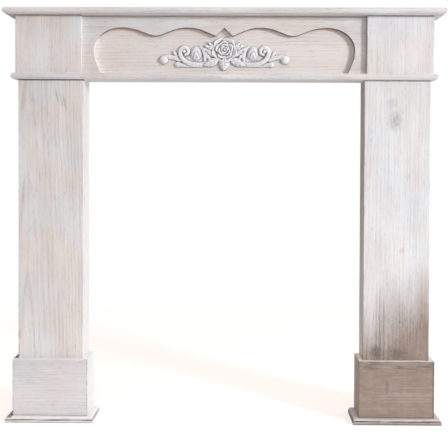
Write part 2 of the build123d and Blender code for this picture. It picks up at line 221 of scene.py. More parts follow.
class Board:
    """Places on one board, in metres from its middle: across its face, along its grain and in depth."""

    def __init__(self, tree, node, along, facing, seed):
        self.tree = tree
        self.low, self.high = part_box(node)
        middle = middle_of(node)
        self.world = tree.axes()
        centred = {axis: tree.less(self.world[axis], middle["XYZ".index(axis)]) for axis in "XYZ"}
        self.across = centred[next(axis for axis in "XYZ" if axis not in (along, facing))]
        self.along = centred[along]
        self.depth = centred[facing]
        self.far_along = tree.add(centred[along], 3.7 * seed)

    def streaks(self, width, length, detail, roughness=0.55, distortion=0.0):
        """Noise drawn out along the grain. The board's seed picks its stretch of it."""
        tree = self.tree
        place = tree.vector(
            tree.times(self.across, 1 / width),
            tree.times(self.far_along, 1 / length),
            tree.times(self.depth, 1 / width),
        )
        return tree.noise(place, detail, roughness, distortion)

    def from_edge(self):
        """How far a point of the board's surface is from the nearest arris."""
        tree = self.tree
        gaps = []
        for index, axis in enumerate("XYZ"):
            to_low = tree.less(self.world[axis], self.low[index])
            to_high = tree.less(self.high[index], self.world[axis])
            gaps.append(tree.math("MINIMUM", to_low, to_high))
        smallest = tree.math("MINIMUM", tree.math("MINIMUM", gaps[0], gaps[1]), gaps[2])
        largest = tree.math("MAXIMUM", tree.math("MAXIMUM", gaps[0], gaps[1]), gaps[2])
        return tree.less(tree.less(tree.add(*gaps), smallest), largest)

    def spot(self, across, along, half_width, half_length, blur=0.6):
        """1 inside a soft-edged oval on the board's face, 0 outside."""
        tree = self.tree
        off_across = tree.times(tree.less(self.across, across), 1 / half_width)
        off_along = tree.times(tree.less(self.along, along), 1 / half_length)
        squared = tree.add(tree.times(off_across, off_across), tree.times(off_along, off_along))
        return tree.step(tree.math("SQRT", squared), 1 - blur, 1 + blur, 1.0, 0.0)

    def rings(self, cut):
        """The growth rings' dark late wood where the sawn face crosses them."""
        tree = self.tree
        pith_side, pith_depth, drift, gap = cut
        waver = self.streaks(1 / 7, 1 / 1.3, 2)
        ripple = self.streaks(1 / 70, 1 / 6, 2)
        side = tree.add(
            self.across, pith_side, tree.times(waver, RING_WAVER), tree.times(ripple, RING_RIPPLE)
        )
        below = tree.add(self.depth, pith_depth, tree.times(self.along, drift))
        reach = tree.math("SQRT", tree.add(tree.times(side, side), tree.times(below, below)))
        phase = tree.math("FRACT", tree.times(reach, 1 / gap))
        rise = tree.step(phase, 0.55, 0.93)
        fall = tree.step(phase, 0.93, 1.0, 1.0, 0.0)
        uneven = tree.step(self.streaks(*RING_PATCHES, 2), 0.30, 0.70, 0.15, 1.0)
        return tree.times(tree.times(rise, fall), uneven)


def wood_marks(board, cut):
    """How strong each kind of mark is at a point of the board, from 0 to 1."""
    tree = board.tree
    return {
        "rings": board.rings(cut),
        "pores": tree.step(board.streaks(*PORES, 2), 0.56, 0.72),
        "filled": tree.step(board.streaks(*FILLED_PORES, 2), 0.57, 0.68),
        "lines": tree.step(board.streaks(*LINES, 3, 0.6), 0.40, 0.66),
        "brush": tree.step(board.streaks(*BRUSH_STROKES, 2), 0.36, 0.64),
        "cloud": tree.step(board.streaks(*CLOUDS, 2), 0.36, 0.64),
        "chips": tree.step(board.streaks(*CHIPS, 3), 0.50, 0.62),
        "patches": tree.step(board.streaks(*PATCHES, 3), 0.35, 0.65),
    }


def weighted(tree, start, marks, **weights):
    """A number plus each named mark times its weight."""
    total = start
    for name, weight in weights.items():
        total = tree.add(total, tree.times(marks[name], weight))
    return total


def washed_wood(
    node,
    along,
    facing,
    seed,
    cut=QUARTER,
    wood=FACE_WOOD,
    wash=WASH_COOL,
    cover=0.84,
    pink=0.4,
    ring_show=0.14,
    bare=None,
    thin=None,
    wear=0.2,
    seams=(),
    fine=1.0,
    rims=0.85,
    bleed=0.14,
    thick=None,
    extra=None,
):
    """Wood under a brushed white wash. Amounts go from 0 to 1.

    cut says how the board was sawn, and wood is its light and dark colour. wash is the wash's own colour,
    pink how far it turns to the warm one, and cover how thick it lies. ring_show is how much the rings thin
    it, rims how much whiter it is made along the arrises as a painted highlight, and bleed how much of it
    the pores keep. fine is how much of the fine grain shows, and wear how far the arrises are chipped. bare
    is the direction of a face that was never painted. seams are ends with a dark line, partly a joint and
    partly painted shade, each with its strength. thin, thick and extra are functions of the board: how much
    wash is missing, where it is made whiter as a painted highlight, and how strong the smudges and painted
    shade are.
    """
    tree = Tree(node + "_wood")
    board = Board(tree, node, along, facing, seed)
    marks = wood_marks(board, cut)
    from_edge = board.from_edge()
    # Painted highlight: the wash is made whiter along the arrises.
    rim = tree.step(from_edge, 0.4 * RIM_HIGHLIGHT_WIDTH, 1.4 * RIM_HIGHLIGHT_WIDTH, 1.0, 0.0)
    on_arris = tree.step(from_edge, 0.0, WEAR_WIDTH, 1.0, 0.0)
    wear_and_shade = tree.times(tree.times(on_arris, marks["chips"]), wear)
    # The seam lines, partly painted shade, darken the wash the way the wear does.
    if seams:
        wear_and_shade = tree.math("MAXIMUM", wear_and_shade, seam_shade_lines(board, seams))

    grain = weighted(
        tree, 0.0, marks, rings=0.45 * fine, lines=0.18 * fine, patches=0.25, pores=0.30 * fine
    )
    bare_wood = tree.mix(tree.math("MINIMUM", grain, 1.0), *wood)
    coat = weighted(
        tree, cover, marks, lines=-0.08, brush=0.06, cloud=0.11, rings=-ring_show, pores=-0.17
    )
    coat = tree.math("MAXIMUM", coat, tree.times(rim, rims))
    if thin:
        coat = tree.less(coat, thin(board))
    coat = tree.math("MAXIMUM", coat, tree.times(marks["filled"], bleed * fine))
    coat = tree.less(coat, wear_and_shade)
    highlight_amount = tree.times(rim, 0.6)
    # Painted highlight: on some boards the wash is made whiter on faces turned to the light.
    if thick:
        lit_face_highlight = thick(board)
        coat = tree.math("MAXIMUM", coat, lit_face_highlight)
        highlight_amount = tree.math("MAXIMUM", highlight_amount, lit_face_highlight)
    if bare:
        coat = tree.times(coat, painted_side(tree, bare))
    coat = tree.math("MINIMUM", tree.math("MAXIMUM", coat, 0.0), 1.0)
    least_pink, most_pink = max(pink - TINT_SPREAD, 0.0), min(pink + TINT_SPREAD, 1.0)
    tint = tree.step(board.streaks(*TINTS, 1), 0.42, 0.58, least_pink, most_pink)
    wash = tree.mix(tint, wash, WASH_PINK)
    # Painted highlight: arrises and faces turned to the light take the whiter wash.
    wash = tree.mix(highlight_amount, wash, WASH_HIGHLIGHT)
    colour = tree.mix(coat, bare_wood, wash)
    # Chipped arrises and the painted shade of the seam lines take the dark colour.
    colour = tree.mix(tree.times(wear_and_shade, 0.9), colour, WEAR_AND_SHADE)
    # Smudges and dirt, and on some boards painted shade and painted shadow.
    if extra:
        colour = tree.mix(extra(board), colour, SMUDGE_AND_SHADE)
    roughness = tree.add(
        0.84, tree.times(coat, -0.18), tree.times(tree.less(marks["lines"], 0.5), 0.08)
    )
    height = weighted(tree, 0.0, marks, lines=-0.25, brush=0.1, rings=-0.2, pores=-0.6)
    return tree.finish(colour, roughness, height, BUMP_DEPTH)


def seam_shade_lines(board, seams):
    """A dark, slightly broken line where the board meets the one above or below it: partly a dark joint,
    partly painted shade under the overhang above and in the corner below.
    """
    tree = board.tree
    broken = tree.step(board.streaks(0.012, 0.012, 2), 0.30, 0.55, 0.75, 1.0)
    total = 0.0
    for end, strength in seams:
        if end == "top":
            gap = tree.less(board.high.z, board.world["Z"])
        else:
            gap = tree.less(board.world["Z"], board.low.z)
        line = tree.step(gap, SEAM_START, SEAM_WIDTH, 1.0, 0.0)
        total = tree.math("MAXIMUM", total, tree.times(line, strength))
    return tree.times(total, broken)


def facing_side(tree, direction, most, from_dot=0.6, to_dot=0.8):
    """most on faces that look in a direction, 0 on the others."""
    node = tree.nodes.new("ShaderNodeVectorMath")
    node.operation = "DOT_PRODUCT"
    tree.put(node.inputs[0], tree.nodes.new("ShaderNodeNewGeometry").outputs["True Normal"])
    node.inputs[1].default_value = direction
    return tree.step(node.outputs["Value"], from_dot, to_dot, 0.0, most)


def painted_side(tree, bare):
    """Nearly 0 on faces that look in the bare direction, 1 on all others."""
    return tree.less(1.0, facing_side(tree, bare, 0.95))


# ---- special marks ----

LEG_MIDDLE = middle_of("leg_front_right").x
# Heights on the base plates: the painted shade line in the quirk, and where the slab's face gives way to
# the round.
LEFT_LINE_HEIGHT, RIGHT_LINE_HEIGHT = 0.0068, 0.0086
SLAB_TO_ROUND = (0.0055, 0.0085)


def spots(board, marks, pattern, blur):
    """Soft ovals on a board, broken up by a pattern."""
    tree = board.tree
    total = 0.0
    for across, along, half_width, half_length, strength in marks:
        spot = board.spot(across, along, half_width, half_length, blur)
        total = tree.add(total, tree.times(tree.times(spot, pattern), strength))
    return total


def right_leg_thinning(board):
    """The wash thins towards the foot of the right leg, most of all on its outer half."""
    tree = board.tree
    ragged = tree.times(tree.less(board.streaks(0.020, 0.05, 3), 0.5), 0.16)
    outwards = tree.less(board.world["X"], LEG_MIDDLE)
    low = tree.add(tree.times(board.world["Z"], -3.2), tree.times(outwards, 2.0), ragged)
    return tree.step(low, -1.32, -0.45, 0.0, 0.90)


def right_leg_smudges(board):
    """Grey knots showing through high on the leg, and dark rubbed patches just above the plinth."""
    tree = board.tree
    rough = tree.step(board.streaks(0.003, 0.008, 3), 0.25, 0.60)
    marks = (
        # across, along, half width, half length, strength
        (-0.006, 0.322, 0.013, 0.020, 0.42),
        (-0.013, 0.366, 0.012, 0.012, 0.20),
        (0.013, -0.003, 0.006, 0.007, 0.22),
        (-0.052, -0.260, 0.014, 0.014, 0.80),
        (0.002, -0.264, 0.026, 0.014, 0.65),
    )
    total = spots(board, marks, rough, 0.7)
    uneven = tree.step(board.streaks(0.003, 0.05, 2), 0.30, 0.60, 0.35, 1.0)
    sway = tree.times(tree.less(board.streaks(0.05, 0.09, 1), 0.5), 0.006)
    for across, strength in ((-0.049, 0.40), (-0.041, 0.60), (-0.031, 0.52)):
        line = board.spot(tree.add(sway, across), -0.190, 0.0020, 0.085, 0.6)
        total = tree.add(total, tree.times(tree.times(line, uneven), strength))
    flecks = tree.step(board.streaks(0.0030, 0.010, 2, distortion=1.5), 0.53, 0.66)
    return tree.add(total, tree.times(tree.times(board.spot(0.010, -0.205, 0.036, 0.060), flecks), 0.36))


def left_leg_smudges(board):
    """Faint marks and short leaning strokes high on the left leg, and a dark line low down its outer edge.
    """
    tree = board.tree
    rough = tree.step(board.streaks(0.003, 0.03, 3), 0.40, 0.66)
    marks = (
        # across, along, half width, half length, strength
        (-0.012, 0.272, 0.009, 0.022, 0.20),
        (-0.052, 0.375, 0.012, 0.014, 0.15),
    )
    total = spots(board, marks, rough, 0.8)
    strokes = (
        # across, along, half length, strength
        (0.015, 0.3825, 0.0165, 0.35),
        (0.025, 0.3750, 0.0200, 0.20),
        (0.035, 0.3650, 0.0180, 0.35),
    )
    for across, along, half_length, strength in strokes:
        leaning = tree.add(across, tree.times(tree.less(board.along, along), -0.2))
        total = tree.add(total, tree.times(board.spot(leaning, along, 0.0022, half_length), strength))
    low_down = tree.step(board.world["Z"], 0.22, 0.40, 1.0, 0.0)
    edge = tree.step(tree.less(board.world["X"], board.low.x), 0.0010, 0.0036, 0.7, 0.0)
    uneven = tree.step(board.streaks(0.012, 0.015, 2), 0.35, 0.60, 0.2, 1.0)
    return tree.add(total, tree.times(tree.times(edge, low_down), uneven))


def base_shade_lines(strength, line_height):
    """Painted shade: a broken dark line in the quirk below the quarter-round, and a dark line along the
    foot of the plate where it meets the floor.
    """
    def extra(board):
        tree = board.tree
        broken = tree.step(board.streaks(0.003, 0.050, 3), 0.34, 0.56, 0.30, 1.0)
        from_quirk = tree.math("ABSOLUTE", tree.less(board.world["Z"], line_height))
        quirk = tree.step(from_quirk, 0.0011, 0.0025, 1.0, 0.0)
        foot = tree.step(board.world["Z"], 0.0004, 0.0036, 0.9, 0.0)
        return tree.times(tree.math("MAXIMUM", tree.times(quirk, broken), foot), strength)

    return extra


def ledge_shadow(board):
    """Painted shadow: grey on a ledge that looks up, where the leg's shadow falls."""
    return facing_side(board.tree, UP, 0.80, 0.5, 0.9)


def left_base_shade(board):
    """The painted shade lines, and painted shadow on the ledge outside the left plinth."""
    tree = board.tree
    plinth_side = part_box("plinth_outer_side_left")[0].x
    outside = tree.step(board.world["X"], plinth_side - 0.001, plinth_side + 0.001, 1.0, 0.0)
    lines = base_shade_lines(0.85, LEFT_LINE_HEIGHT)(board)
    return tree.math("MAXIMUM", lines, tree.times(outside, ledge_shadow(board)))


def base_thin(round_amount, face_amount):
    """The slab's upright face has thinner wash than the quarter-round above it; the round's whiter wash is
    a painted highlight where it turns up to the light.
    """
    def thin(board):
        tree = board.tree
        ragged = tree.times(tree.less(board.streaks(0.004, 0.05, 3), 0.5), 0.4)
        amount = tree.step(board.world["Z"], *SLAB_TO_ROUND, face_amount, round_amount)
        return tree.add(amount, ragged)

    return thin


def right_plinth_marks(board):
    """Curved dark lines near the plinth's top, one small knot, and dirt down its outer edge."""
    tree = board.tree
    upper = tree.step(tree.less(board.high.z, board.world["Z"]), 0.010, 0.042, 1.0, 0.0)
    lines = tree.step(board.streaks(0.0050, 0.045, 2, distortion=1.2), 0.52, 0.62)
    broken = tree.step(board.streaks(0.012, 0.010, 2), 0.30, 0.55, 0.45, 0.95)
    edge = tree.step(tree.less(board.high.x, board.world["X"]), 0.0016, 0.0056, 1.0, 0.0)
    edge = tree.times(tree.times(edge, broken), facing_side(tree, TO_ROOM, 1.0))
    knot = tree.times(board.spot(0.006, -0.024, 0.015, 0.004, 0.8), 0.42)
    return tree.math("MAXIMUM", tree.add(tree.times(tree.times(upper, lines), 0.65), knot), edge)


def left_plinth_marks(board):
    """Thin lines of dirt down the plinth's two edges."""
    tree = board.tree
    uneven = tree.step(board.streaks(0.012, 0.004, 2), 0.35, 0.60, 0.15, 0.75)
    to_inner = tree.less(board.high.x, board.world["X"])
    to_outer = tree.less(board.world["X"], board.low.x)
    edge = tree.step(tree.math("MINIMUM", to_inner, to_outer), 0.0010, 0.0030, 1.0, 0.0)
    return tree.times(tree.times(edge, uneven), facing_side(tree, TO_ROOM, 1.0))


def top_highlight(board):
    """Painted highlight: faces that look up get whiter wash, as if lit from above."""
    return facing_side(board.tree, UP, 0.9)


def all_thin(amount):
    """The same amount of wash missing everywhere, a little patchy."""
    def thin(board):
        tree = board.tree
        return tree.add(amount, tree.times(tree.less(board.streaks(0.03, 0.10, 3), 0.5), 0.30))

    return thin


# ---- what each board is made of ----

SIDE_SEEDS = {"left": 4, "right": 16}
UNPAINTED = {"cut": PLAIN, "wood": FRAME_WOOD, "cover": 0.0, "rims": 0.0, "wear": 0.0, "bleed": 0.0}


def dress(node, material):
    """Gives a CAD piece its material."""
    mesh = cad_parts[node].data
    mesh.materials.clear()
    mesh.materials.append(material)


def dress_washed(node, along, facing, seed, **looks):
    dress(node, washed_wood(node, along, facing, seed, **looks))


def fret_edge_shade(board):
    """Painted shade: the cut-out's faces that look down and those that look left, away from the light, have
    thin wash so bare wood shows.
    """
    tree = board.tree
    right_end = facing_side(tree, TO_LEFT, 1.0, 0.3, 0.7)
    return tree.math("MAXIMUM", facing_side(tree, DOWN, 1.0, 0.15, 0.65), right_end)


def fret_shadow_line(board):
    """Painted shadow in the corner between the fret panel and the right block."""
    tree = board.tree
    gap = tree.less(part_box("frieze_block_right")[0].x, board.world["X"])
    return tree.step(gap, 0.0008, 0.0040, 0.55, 0.0)


def fret_edge_highlight(board):
    """Painted highlight: the cut edge at the left end of the cut-out looks right, towards the light, and
    gets whiter wash.
    """
    return facing_side(board.tree, TO_RIGHT, 1.0, 0.5, 0.9)


def dress_frieze():
    dress_washed("mantel_shelf", "X", "Z", 1.0, cover=0.80, pink=0.2)
    dress_washed("cornice_board", "X", "Z", 2.1, cover=0.80, pink=0.2)
    dress_washed(
        "frieze_fret_panel",
        "X",
        "Y",
        3.3,
        cut=RIFT,
        cover=0.82,
        pink=0.55,
        thin=fret_edge_shade,
        thick=fret_edge_highlight,
        extra=fret_shadow_line,
        wear=0.0,
        seams=(("top", 0.35),),
    )
    dress_washed(
        "frieze_back_panel",
        "X",
        "Y",
        4.2,
        cut=RIFT,
        cover=0.95,
        pink=1.0,
        ring_show=0.24,
        bare=TO_WALL,
        wear=0.0,
    )
    for seed, node in enumerate(("frieze_rear_rail", "shelf_batten", "cornice_batten")):
        dress_washed(node, "X", "Y", 30.0 + seed, **UNPAINTED)


# The left leg's front board is pinkish and plain, the right one white and knotty, its wash thinning towards
# the foot. Each has a dark line under the cornice, partly a joint and partly painted shade.
LEG_FRONT = {
    "left": {
        "cut": LEFT_LEG_CUT,
        "cover": 0.82,
        "pink": 0.45,
        "ring_show": 0.21,
        "wear": 0.05,
        "extra": left_leg_smudges,
        "seams": (("top", 1.0),),
    },
    "right": {
        "cut": RIFT,
        "cover": 0.84,
        "pink": 0.1,
        "fine": 0.5,
        "thin": right_leg_thinning,
        "extra": right_leg_smudges,
        "seams": (("top", 0.5),),
    },
}


def dress_left_foot(put, inwards, outwards):
    """The left leg's sides, plinth and base plate are thickly washed and cool."""
    foot = {"cover": 0.86, "pink": 0.0, "fine": 0.5, "thick": top_highlight}
    front = dict(foot, cut=RIFT, wash=WASH_GREY, extra=left_plinth_marks, seams=(("foot", 0.3),), wear=0.1)
    plate = {"cover": 0.97, "pink": 0.1, "thin": all_thin(0.0), "thick": top_highlight}
    put("leg_inner_side", "Z", "X", 2.3, cover=0.97, pink=0.0, bare=outwards)
    put("leg_outer_side", "Z", "X", 3.1, bare=inwards)
    put("plinth_front", "X", "Y", 4.2, **front)
    put("plinth_outer_side", "Z", "X", 6.1, bare=inwards, **dict(foot, thick=None, extra=ledge_shadow))
    put("plinth_inner_side", "Z", "X", 5.2, bare=outwards, **dict(foot, cover=0.97))
    put("base_plate", "X", "Z", 6.8, extra=left_base_shade, **plate)


def dress_right_foot(put, inwards, outwards):
    """The right leg's sides share its thinning wash, and the plinth has very little wash."""
    foot = {"cover": 0.84, "thin": all_thin(0.87), "fine": 0.25, "rims": 0.3, "thick": top_highlight}
    front = dict(foot, cut=RIFT, extra=right_plinth_marks, seams=(("foot", 0.5),), wear=0.1)
    plate = {"cover": 0.84, "pink": 0.3, "thin": base_thin(0.24, 0.80)}
    # Painted shade: this inner side looks away from the light and gets a thinner, pinker wash than the left
    # leg's.
    put("leg_inner_side", "Z", "X", 2.3, cover=0.84, pink=1.0, thin=all_thin(0.20), bare=outwards)
    put("leg_outer_side", "Z", "X", 3.1, cover=0.86, pink=0.1, thin=right_leg_thinning, bare=inwards)
    put("plinth_front", "X", "Y", 4.2, **front)
    put("plinth_outer_side", "Z", "X", 6.1, bare=inwards, **foot)
    put("plinth_inner_side", "Z", "X", 5.2, bare=outwards, **dict(foot, thin=all_thin(0.74)))
    put("base_plate", "X", "Z", 6.8, extra=base_shade_lines(1.0, RIGHT_LINE_HEIGHT), **plate)


def dress_side(name):
    """All the boards that come as a left and a right one."""
    inwards, outwards = (TO_RIGHT, TO_LEFT) if name == "left" else (TO_LEFT, TO_RIGHT)

    def put(stem, along, facing, step, **looks):
        dress_washed(stem + "_" + name, along, facing, SIDE_SEEDS[name] + step, **looks)

    put("frieze_block", "Z", "Y", 0.3, cover=0.87, pink=0.4, seams=(("top", 0.5),))
    put("frieze_side", "Z", "X", 0.9, cover=0.80, bare=inwards)
    put("leg_front", "Z", "Y", 1.7, bare=TO_WALL, **LEG_FRONT[name])
    dress_foot = dress_left_foot if name == "left" else dress_right_foot
    dress_foot(put, inwards, outwards)
    for step, stem in enumerate(("frieze_rib", "leg_inner_corner_strip", "leg_outer_corner_strip")):
        put(stem, "Z", "X", 8.0 + step, **UNPAINTED)
    for step, stem in enumerate(("leg_top_block", "leg_foot_block", "leg_back_rail")):
        put(stem, "X", "Y", 12.0 + step, **UNPAINTED)


BEECH_DARK, BEECH_PALE, BEECH_FLECK = rgb(0.60, 0.42, 0.28), rgb(0.70, 0.52, 0.37), rgb(0.36, 0.21, 0.12)
ZINC_DARK, ZINC_PALE = rgb(0.58, 0.57, 0.54), rgb(0.74, 0.72, 0.66)


def dowel_beech():
    """Pale pinkish beech with short dark flecks."""
    tree = Tree("dowel_beech")
    fleck = tree.step(tree.noise(tree.scaled(900, 900, 180), 2), 0.55, 0.70)
    cloud = tree.noise(tree.scaled(120, 120, 20), 2)
    colour = tree.mix(cloud, BEECH_DARK, BEECH_PALE)
    colour = tree.mix(tree.times(fleck, 0.5), colour, BEECH_FLECK)
    return tree.finish(colour, tree.add(0.6, tree.times(fleck, 0.15)), fleck, 0.0002)


def screw_zinc():
    """Bright zinc with a slightly yellow, cloudy passivated skin."""
    tree = Tree("screw_zinc")
    cloud = tree.noise(tree.scaled(700, 700, 700), 3)
    tree.shader.inputs["Metallic"].default_value = 1.0
    colour = tree.mix(cloud, ZINC_DARK, ZINC_PALE)
    return tree.finish(colour, tree.add(0.22, tree.times(cloud, 0.25)), cloud, 0.0001)


def dress_fasteners():
    dress("leg_dowels", dowel_beech())
    zinc = screw_zinc()
    for node in ("shelf_screws", "cornice_batten_screws", "leg_top_screws", "base_screws"):
        dress(node, zinc)


# ---- the rose ornament, in millimetres from the middle of the rose ----

MM = 0.001
RELIEF_STEP = 0.65
RELIEF_SOFTNESS = 0.5
# How much of the relief's foot is cut away.
RELIEF_SKIRT = 0.7
RELIEF_REACH = 172.0
RELIEF_BELOW, RELIEF_ABOVE = 60.0, 36.0
# How far round a point its surroundings are averaged.
RELIEF_SURROUNDINGS = 2.4
# From the CAD solid's lower edge up to the middle of the rose.
ROSE_HEIGHT = 55.0
ROSE_SPREAD = 1.08
CURVE_STEPS = 14
GROOVE_WIDTH = 0.22
MIDRIB_DEPTH = 1.9
VEIN_HEIGHT = 0.95
FOLD_HEIGHT = 1.1
PETAL_TILT = 0.9
# The petal's edge rolls over from here outwards, where its outline is 1.
ROLL_START, ROLL_WIDTH = 0.84, 0.16


def blurred(grid, radius):
    """A Gaussian blur over the relief's grid. radius is in millimetres."""
    reach = int(math.ceil(3 * radius / RELIEF_STEP))
    weights = np.exp(-0.5 * (np.arange(-reach, reach + 1) * RELIEF_STEP / radius) ** 2)
    weights /= weights.sum()
    for axis in (0, 1):
        grid = np.apply_along_axis(lambda line: np.convolve(line, weights, "same"), axis, grid)
    return grid


def dome(u, v, centre, radius, base, rise):
    """A ball's cap on a low upright side."""
    away = np.hypot(u - centre[0], v - centre[1]) / radius
    return np.where(away < 1, base + rise * np.sqrt(np.clip(1 - away**2, 0, 1)), 0)


def through(points):
    """A smooth curve through the points, each (u, v, radius, height)."""
    rows = np.array(points, float)
    rows = np.vstack([2 * rows[0] - rows[1], rows, 2 * rows[-1] - rows[-2]])
    curve = []
    for before, first, second, after in zip(rows, rows[1:], rows[2:], rows[3:]):
        for t in np.linspace(0, 1, CURVE_STEPS, endpoint=False):
            curve.append(
                0.5
                * (
                    2 * first
                    + (second - before) * t
                    + (2 * before - 5 * first + 4 * second - after) * t**2
                    + (3 * first - before - 3 * second + after) * t**3
                )
            )
    curve.append(rows[-2])
    return np.array(curve)


def strap(u, v, points, groove=0.0):
    """A rounded strap along a curve, with a shallow groove down its middle."""
    height = np.zeros_like(u)
    nearest = np.ones_like(u)
    for x, y, radius, top in through(points):
        away = np.hypot(u - x, v - y) / max(radius, 0.1)
        height = np.maximum(height, np.where(away < 1, top * np.sqrt(np.clip(1 - away**2, 0, 1)) ** 0.7, 0))
        nearest = np.minimum(nearest, away)
    return height - np.where(height > 0, groove * np.exp(-((nearest / GROOVE_WIDTH) ** 2)), 0)


def oval(u, v, centre, half_width, half_height):
    """0 in the middle of an oval and 1 on its outline."""
    return np.hypot((u - centre[0]) / half_width, (v - centre[1]) / half_height)


def bud(u, v, centre, half_width, half_height, low, high, folds):
    """A closed bud with folded petals, one inside another."""
    off = oval(u, v, centre, half_width, half_height)
    inner = oval(u, v, (centre[0], centre[1] - half_height), half_width, 2 * half_height)
    wave = np.cos(2 * np.pi * folds * inner)
    body = low + (high - low) * (1 - off**2.2) + FOLD_HEIGHT * wave * (1 - off**4)
    return np.where(off < 1, body, 0)


def leaf(u, v, base, tip, width, low, high, veins=4, fullness=0.8):
    """A leaf with a sunk midrib, raised between its side veins."""
    run_u, run_v = tip[0] - base[0], tip[1] - base[1]
    length = math.hypot(run_u, run_v)
    along = ((u - base[0]) * run_u + (v - base[1]) * run_v) / length**2
    across = ((v - base[1]) * run_u - (u - base[0]) * run_v) / length
    half = width / 2 * np.sin(np.pi * np.clip(along, 0, 1) ** fullness) ** 0.7
    off = np.abs(across) / np.maximum(half, 0.01)
    body = low + (high - low) * (1 - off**2.2)
    body -= MIDRIB_DEPTH * np.exp(-(across**2)) * np.clip(1.15 - along, 0, 1)
    wave = np.cos(2 * np.pi * (veins * along - 1.1 * np.abs(across) / width))
    body += VEIN_HEIGHT * wave * np.clip(off * 1.6, 0, 1) * (1 - off**6)
    return np.where((along > 0) & (along < 1) & (off < 1), body, 0)


def petal(u, v, angle, root, reach, half_width, floor, lip, rim):
    """A cupped petal, low near the rose's middle and raised at its rolled outer edge."""
    turn = math.radians(angle)
    out = u * math.cos(turn) + v * math.sin(turn) - root
    side = v * math.cos(turn) - u * math.sin(turn)
    ripple = 1 + 0.035 * np.cos(5 * np.arctan2(side, out) + angle)
    away = np.hypot(out / reach, side / half_width) * ripple
    middle = np.hypot(u, v) / rim
    cup = floor + (lip - floor) * np.clip(middle, 0, 1.1) ** 2.6 + PETAL_TILT * side / half_width
    rolled = np.sqrt(np.clip(1 - (np.clip(away - ROLL_START, 0, 1) / ROLL_WIDTH) ** 2, 0, 1))
    return np.where(away < 1, cup * rolled, 0)


def rose(u, v):
    """Rings of petals, each ring higher and tighter than the one outside it, round a furled bud."""
    height = np.zeros_like(u)
    rings = (
        # count, first angle, root, reach, half width, floor, lip, rim
        (5, 54, 13.5, 17.6, 18.2, 3.0, 10.5, 30.0),
        (5, 20, 8.0, 13.8, 12.4, 4.5, 13.5, 21.4),
        (3, 80, 4.6, 10.0, 10.5, 6.5, 15.4, 14.4),
        (3, 10, 2.0, 7.0, 6.4, 8.5, 16.6, 9.0),
    )
    for count, first, root, reach, half_width, floor, lip, rim in rings:
        for angle in first + 360 / count * np.arange(count):
            one = petal(u, v, angle, root, reach, half_width, floor, lip, rim)
            height = np.maximum(height, one)
    return np.maximum(height, dome(u, v, (0.6, 0.4), 2.6, 11.5, 5.0))


# The middle lines of the arm's straps. Each point is (u, v, radius, height).
NECK = ((150, -18, 6.5, 7.5), (139, -18, 6.5, 7.0), (127, -20, 6.0, 6.5), (114, -26, 5.0, 5.5))
SCROLL = (
    (50, -34, 4.5, 6.0),
    (66, -37, 6.2, 7.0),
    (84, -36, 7.0, 8.0),
    (101, -28, 6.5, 8.5),
    (111, -15, 6.4, 8.5),
    (112, -3, 6.3, 9.0),
    (104, 6, 6.0, 9.5),
    (94, 3, 5.4, 9.5),
    (92, -7, 4.6, 9.5),
    (99, -12, 3.6, 9.5),
)
LOWER_STEM = (
    (119, -37, 7.6, 7.5),
    (106, -38, 5.2, 6.0),
    (90, -41, 3.2, 4.5),
    (62, -41.5, 2.6, 4.0),
    (48, -40, 2.0, 3.0),
)
STALK = (
    (62, 9, 3.0, 5.5),
    (56, 3, 4.2, 7.0),
    (51, -8, 4.6, 7.5),
    (49, -21, 4.4, 7.0),
    (50, -34, 3.4, 5.5),
)


def arm(u, v):
    """One side arm, the same on both sides: leaves, a C-scroll with a rolled end, a bud, a neck and a ball.
    A thin web joins them."""
    height = np.where(oval(u, v, (76, -17), 40, 19) < 1, 2.4, 0)
    pieces = (
        dome(u, v, (154.0, -24.5), 11.8, 1.5, 8.5),
        strap(u, v, NECK, 0.8),
        leaf(u, v, (119, -20), (131, -1), 9, 3, 6.5, 2),
        strap(u, v, SCROLL, 1.2),
        dome(u, v, (102, -3.5), 5.0, 4.0, 5.5),
        strap(u, v, LOWER_STEM),
        bud(u, v, (72, -8), 15.0, 18.0, 3.5, 9.5, 2.5),
        strap(u, v, STALK, 0.9),
        leaf(u, v, (34, -27), (58, 3), 10, 3.5, 7.5, 4),
        leaf(u, v, (18, -18), (56, 6), 15, 3.5, 8.0, 4),
        leaf(u, v, (24, 0), (52, 13), 12, 3.5, 8.0, 3),
        leaf(u, v, (24, 3), (41, 20), 11, 3.5, 8.5, 3),
        leaf(u, v, (12, -22), (52, -40), 22, 3.5, 9.0, 4, 0.95),
    )
    for piece in pieces:
        height = np.maximum(height, piece)
    return height


def relief_grid():
    """The ornament's height over the panel, and how far each point stands above its surroundings."""
    u_line = np.arange(-RELIEF_REACH, RELIEF_REACH + RELIEF_STEP, RELIEF_STEP)
    v_line = np.arange(-RELIEF_BELOW, RELIEF_ABOVE + RELIEF_STEP, RELIEF_STEP)
    u, v = np.meshgrid(u_line, v_line)
    height = np.maximum(arm(np.abs(u), v), leaf(u, v, (0, -18), (-1, -52), 29, 3.5, 9.5, 4, 0.9))
    height = np.maximum(height, rose(u / ROSE_SPREAD, v / ROSE_SPREAD))
    height = blurred(height, RELIEF_SOFTNESS) - RELIEF_SKIRT
    raised = np.clip(height, 0, None)
    stand = raised - blurred(raised, RELIEF_SURROUNDINGS)
    return u_line, v_line, height, stand


